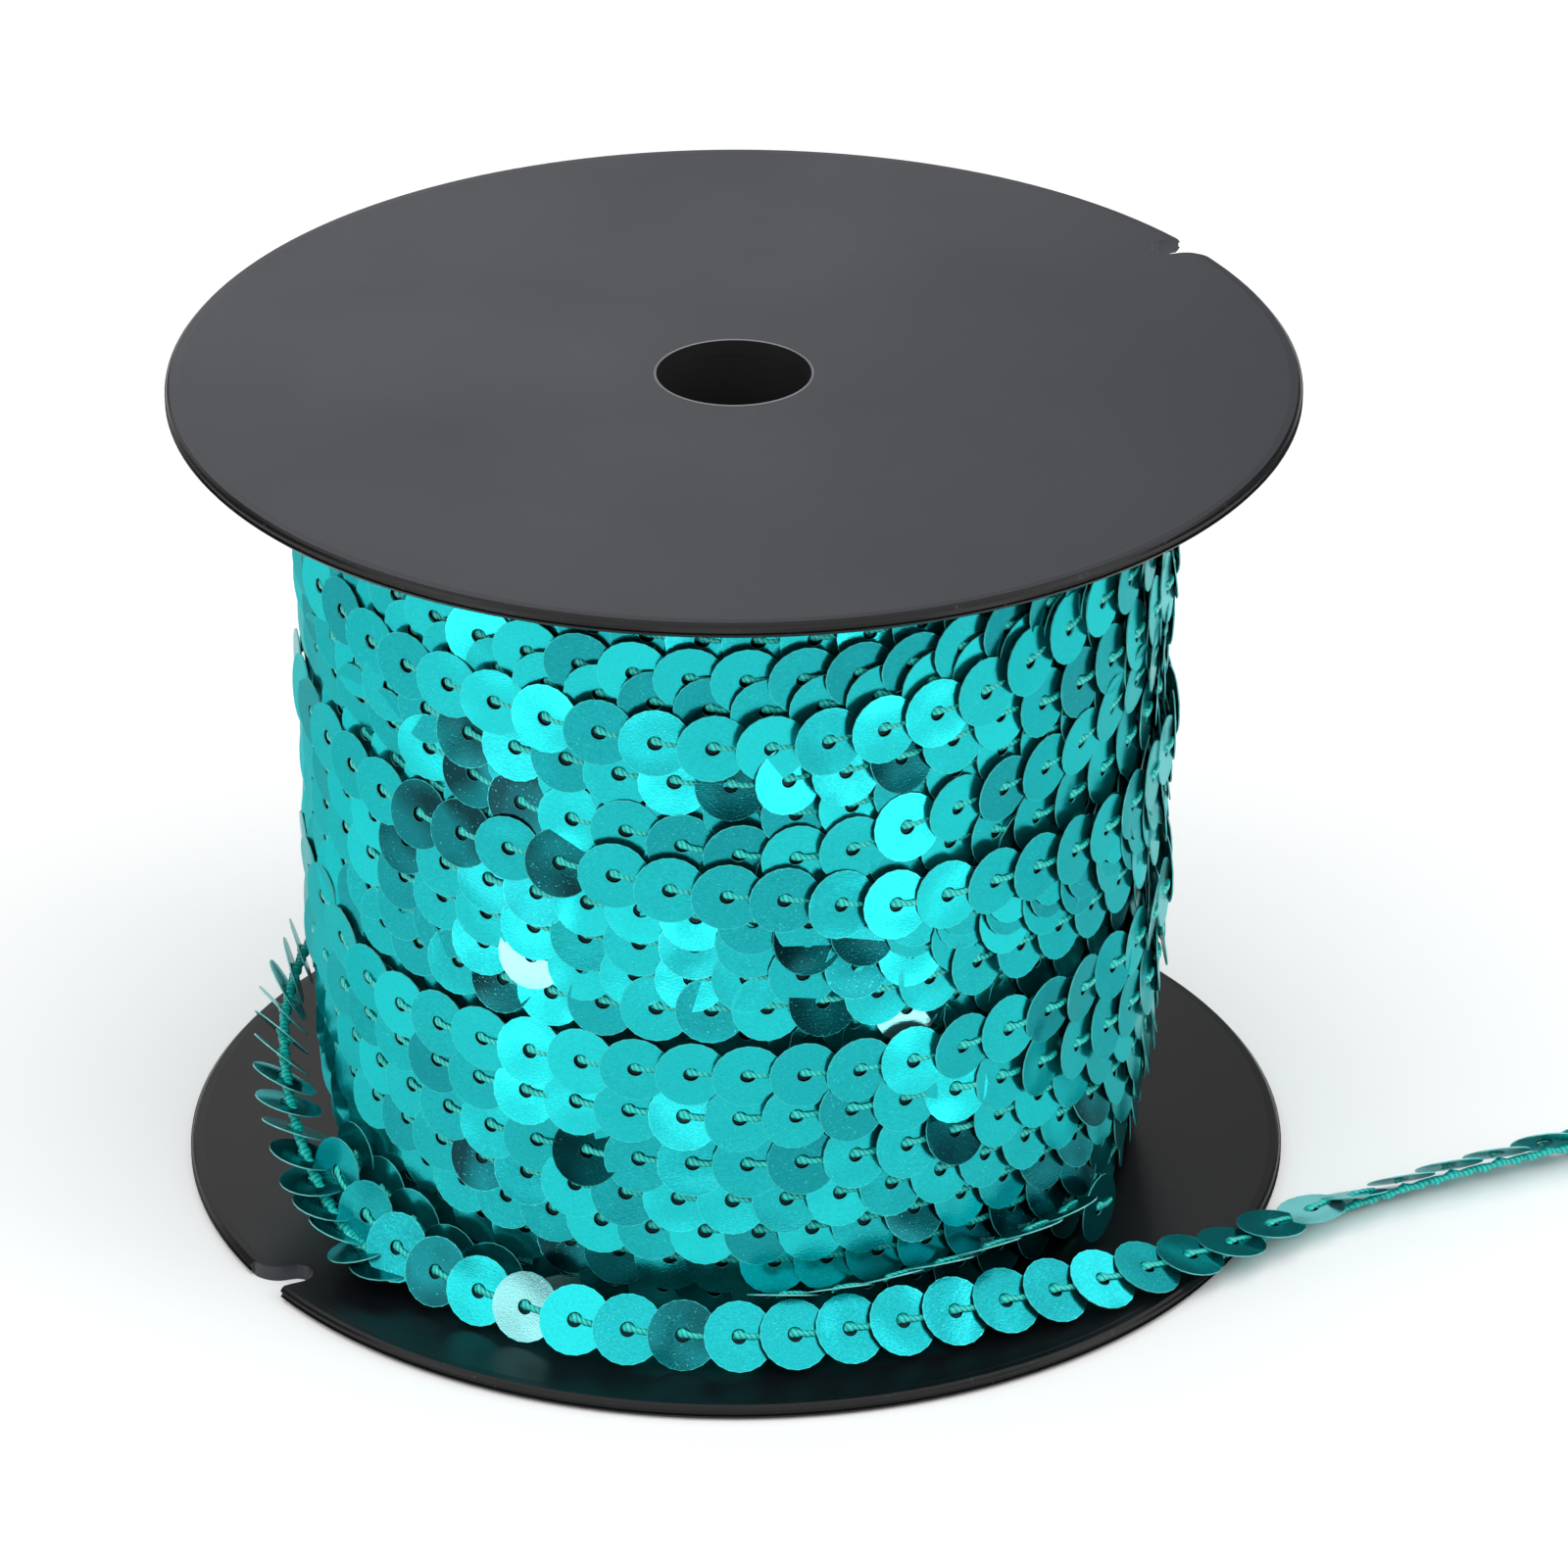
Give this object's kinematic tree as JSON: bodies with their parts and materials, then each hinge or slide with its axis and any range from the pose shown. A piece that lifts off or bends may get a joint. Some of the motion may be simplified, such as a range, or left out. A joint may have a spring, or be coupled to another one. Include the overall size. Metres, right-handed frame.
{
  "type": "sequin trim on reel",
  "caption": "Single-row teal sequin trim wound in overlapping turns on a flanged black plastic reel, with its loose end lying out to one side.",
  "frame": {"origin": "centre of the outer face of the bottom flange, on the reel's axis", "axes": "+Z along the reel's axis from the bottom flange to the top one, -Y towards the camera, +X towards the side that the loose end leaves by"},
  "size_m": [0.1266, 0.095, 0.0734],
  "materials": {
    "reel_plastic": "moulded black polystyrene, satin outside and glossy inside",
    "hub_plastic": "moulded black polystyrene, plain",
    "sequin_film": "metallised teal polyester film discs on a twisted turquoise thread",
    "sequin_thread": "glossy two-ply polyester thread"
  },
  "bodies": {
    "root": {"bottom_flange": "reel_plastic", "top_flange": "reel_plastic", "hub": "hub_plastic", "winding": "sequin_film", "last_turn": "sequin_film", "loose_end": "sequin_film"}
  },
  "joints": []
}
